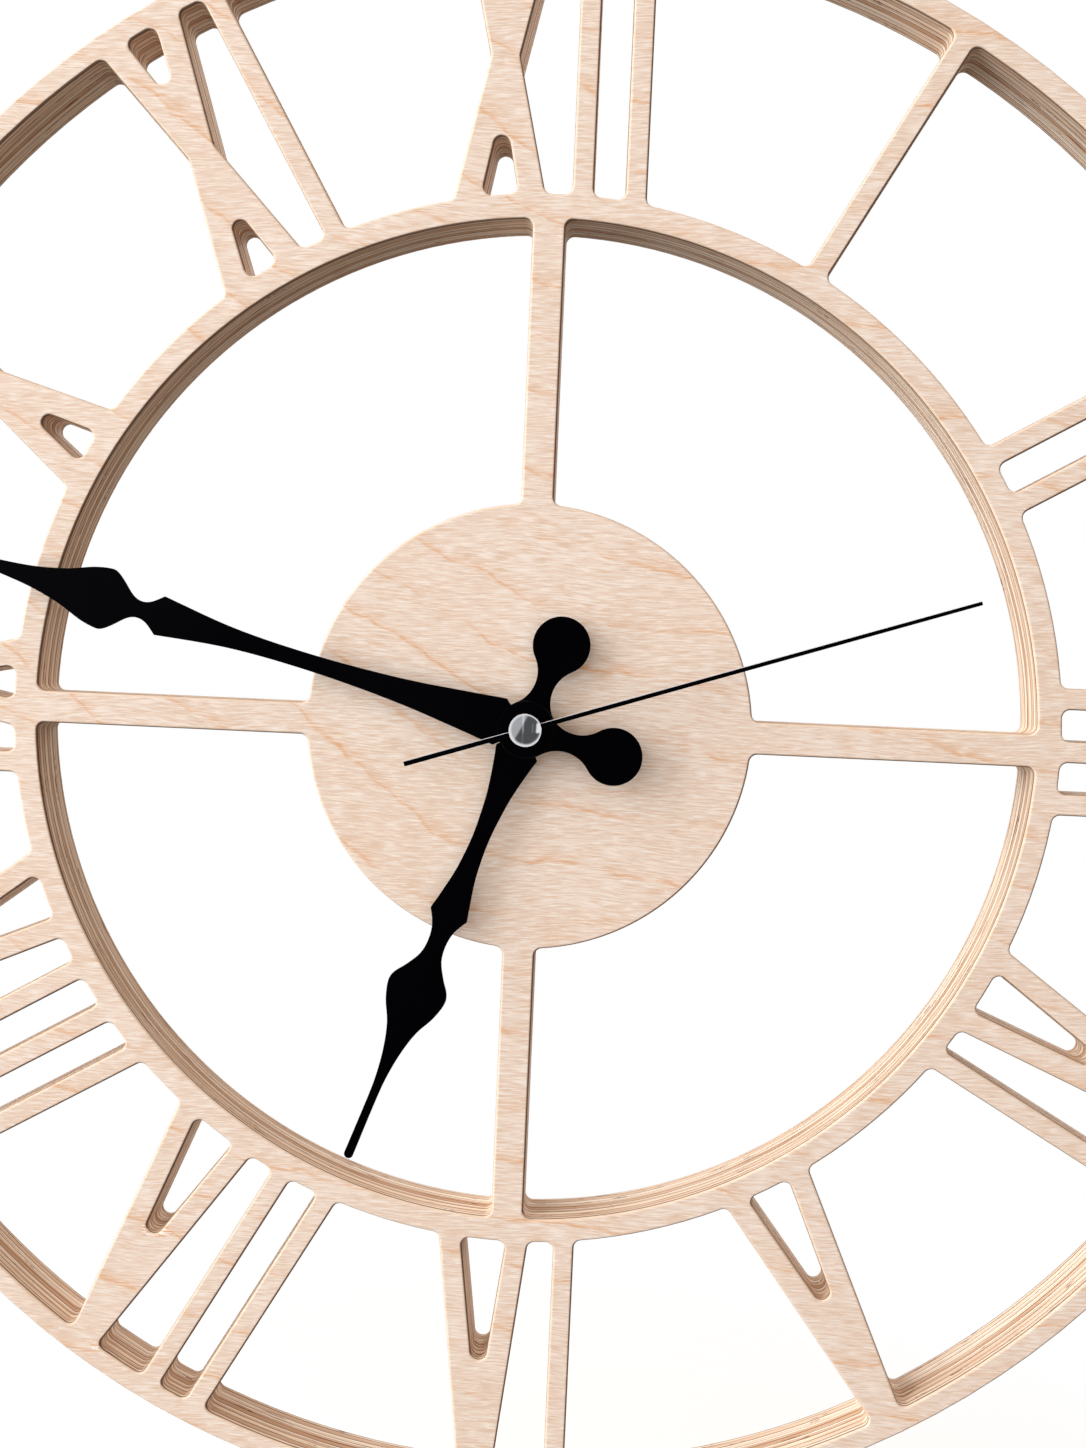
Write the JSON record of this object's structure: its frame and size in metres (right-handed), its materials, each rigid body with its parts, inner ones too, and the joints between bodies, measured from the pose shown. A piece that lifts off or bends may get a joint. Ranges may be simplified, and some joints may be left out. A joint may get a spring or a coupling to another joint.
{
  "type": "wall clock",
  "caption": "Round skeleton wall clock: Roman numerals milled from one birch plywood board, a quartz movement behind the hub and black leaf hands.",
  "frame": {"origin": "on the wall, at the centre of the rear cover, in line with the hands' axis", "axes": "+X towards three o'clock, +Z towards twelve o'clock, -Y out of the dial towards the viewer"},
  "size_m": [0.3999, 0.0433, 0.4],
  "materials": {
    "birch_plywood": "raw birch plywood, milled, unfinished",
    "black_metal": "satin black paint on sheet aluminium",
    "bright_cap": "polished",
    "brass": "turned",
    "case_plastic": "fine spark texture",
    "white_nylon": "moulded",
    "knob_plastic": "moulded",
    "rubber": "matt",
    "sheet_steel": "zinc plated sheet",
    "contact_steel": "nickel plated strip",
    "core_steel": "stamped soft iron",
    "magnet": "sintered",
    "copper_wire": "enamelled wire",
    "circuit_green": "solder mask",
    "chip_resin": "potting resin",
    "crystal_can": "drawn can",
    "battery_jacket": "plain printed jacket"
  },
  "bodies": {
    "clock_frame": {"dial": "birch_plywood", "hanger": "sheet_steel", "gasket": "rubber", "threaded_bush": "brass", "dial_washer": "brass", "fixing_nut": "brass", "case_front": "case_plastic", "case_rear": "case_plastic", "battery": "battery_jacket", "positive_contact": "contact_steel", "negative_contact": "contact_steel", "circuit_board": "circuit_green", "chip": "chip_resin", "crystal": "crystal_can", "coil_bobbin": "white_nylon", "coil_winding": "copper_wire", "coil_core": "core_steel", "stator": "core_steel", "train_plate": "white_nylon"},
    "rotor": {"rotor_magnet": "magnet", "rotor_pinion": "white_nylon"},
    "intermediate": {"intermediate_wheel": "white_nylon"},
    "seconds": {"second_wheel": "white_nylon", "second_hand": "black_metal", "second_tube": "brass", "cap": "bright_cap"},
    "third": {"third_wheel": "white_nylon"},
    "centre": {"centre_wheel": "white_nylon"},
    "minutes": {"cannon_pinion": "white_nylon", "clutch_spring": "contact_steel", "minute_hand": "black_metal", "minute_collet": "brass"},
    "minute_works": {"minute_works_wheel": "white_nylon"},
    "hours": {"hour_wheel": "white_nylon", "hour_hand": "black_metal", "hour_collet": "brass"},
    "setting": {"setting_knob": "knob_plastic"}
  },
  "joints": [
    {"name": "seconds_turn", "type": "hinge", "parent": "clock_frame", "child": "seconds", "pos_m": [0, -0.0057, 0], "axis": [0, 1, 0], "continuous": true},
    {"name": "rotor_turn", "type": "hinge", "parent": "clock_frame", "child": "rotor", "pos_m": [-0.01381, -0.0044, 0.00797], "axis": [0, 1, 0], "continuous": true},
    {"name": "intermediate_turn", "type": "hinge", "parent": "clock_frame", "child": "intermediate", "pos_m": [-0.00758, -0.0021, 0.00438], "axis": [0, 1, 0], "continuous": true},
    {"name": "third_turn", "type": "hinge", "parent": "clock_frame", "child": "third", "pos_m": [0.0051, -0.0087, 0.00883], "axis": [0, 1, 0], "continuous": true},
    {"name": "centre_turn", "type": "hinge", "parent": "clock_frame", "child": "centre", "pos_m": [0, -0.0103, 0], "axis": [0, 1, 0], "continuous": true},
    {"name": "minutes_turn", "type": "hinge", "parent": "clock_frame", "child": "minutes", "pos_m": [0, -0.0117, 0], "axis": [0, 1, 0], "continuous": true},
    {"name": "minute_works_turn", "type": "hinge", "parent": "clock_frame", "child": "minute_works", "pos_m": [0.00895, -0.0117, -0.00094], "axis": [0, 1, 0], "continuous": true},
    {"name": "hours_turn", "type": "hinge", "parent": "clock_frame", "child": "hours", "pos_m": [0, -0.013, 0], "axis": [0, 1, 0], "continuous": true},
    {"name": "setting_turn", "type": "hinge", "parent": "clock_frame", "child": "setting", "pos_m": [0.01741, -0.0117, 0.00214], "axis": [0, 1, 0], "continuous": true}
  ],
  "couplings": [
    {"joint": "intermediate_turn", "follows": "seconds_turn", "ratio": -6},
    {"joint": "rotor_turn", "follows": "seconds_turn", "ratio": 30},
    {"joint": "third_turn", "follows": "seconds_turn", "ratio": -0.13333},
    {"joint": "centre_turn", "follows": "seconds_turn", "ratio": 0.016667},
    {"joint": "minute_works_turn", "follows": "minutes_turn", "ratio": -0.33333},
    {"joint": "hours_turn", "follows": "minutes_turn", "ratio": 0.083333},
    {"joint": "setting_turn", "follows": "minutes_turn", "ratio": 1}
  ]
}
